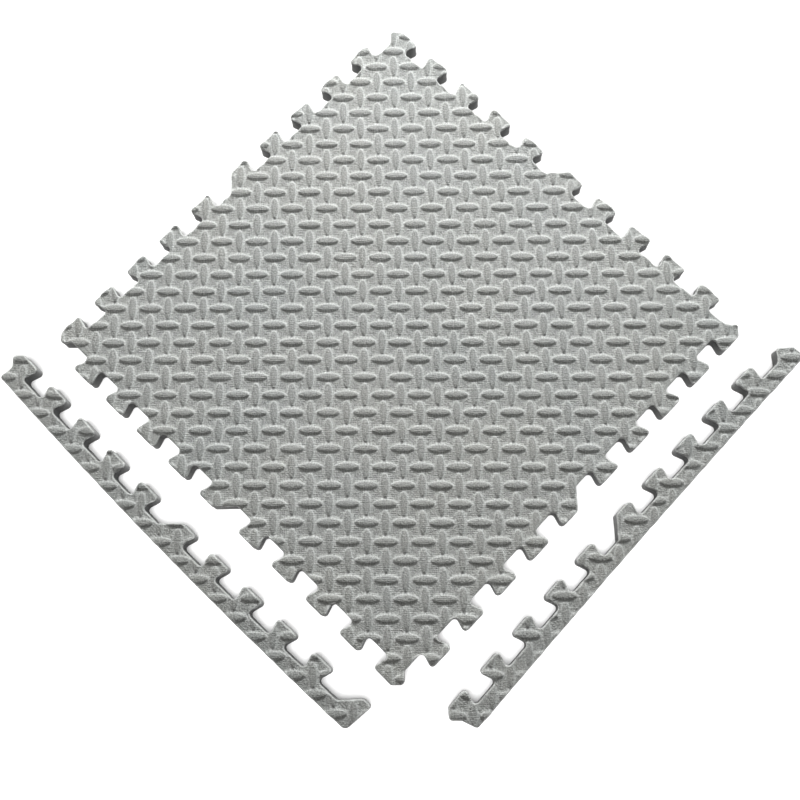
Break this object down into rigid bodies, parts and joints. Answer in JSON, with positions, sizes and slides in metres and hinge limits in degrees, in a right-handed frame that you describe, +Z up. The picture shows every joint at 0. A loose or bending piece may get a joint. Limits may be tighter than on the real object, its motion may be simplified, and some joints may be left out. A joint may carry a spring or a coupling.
{
  "type": "interlocking foam blocking mat",
  "caption": "Square grey foam puzzle tile with toothed sides and a raised leaf tread, shown with loose straight edging strips cut to lock into its sides.",
  "frame": {"origin": "centre of the tile's underside, on the surface the pieces lie on", "axes": "+Z up, out of the tread face; the tile's sides run along X and Y; one strip lies along the -Y side and the other along the +X side"},
  "size_m": [0.3598, 0.3544, 0.011],
  "materials": {
    "tile_foam": "matte closed-cell foam",
    "strip_foam": "matte closed-cell foam"
  },
  "bodies": {
    "tile": {"mat_tile": "tile_foam"},
    "left_strip": {"edge_strip_left": "strip_foam"},
    "right_strip": {"edge_strip_right": "strip_foam"}
  },
  "joints": [
    {"name": "left_strip_carry", "type": "slide", "parent": "tile", "child": "left_strip", "axis": [0.4299, 0.6748, 0.5998], "range_m": [0, 0.04]},
    {"name": "right_strip_carry", "type": "slide", "parent": "tile", "child": "right_strip", "axis": [-0.5859, -0.0606, 0.8081], "range_m": [0, 0.0495]}
  ]
}
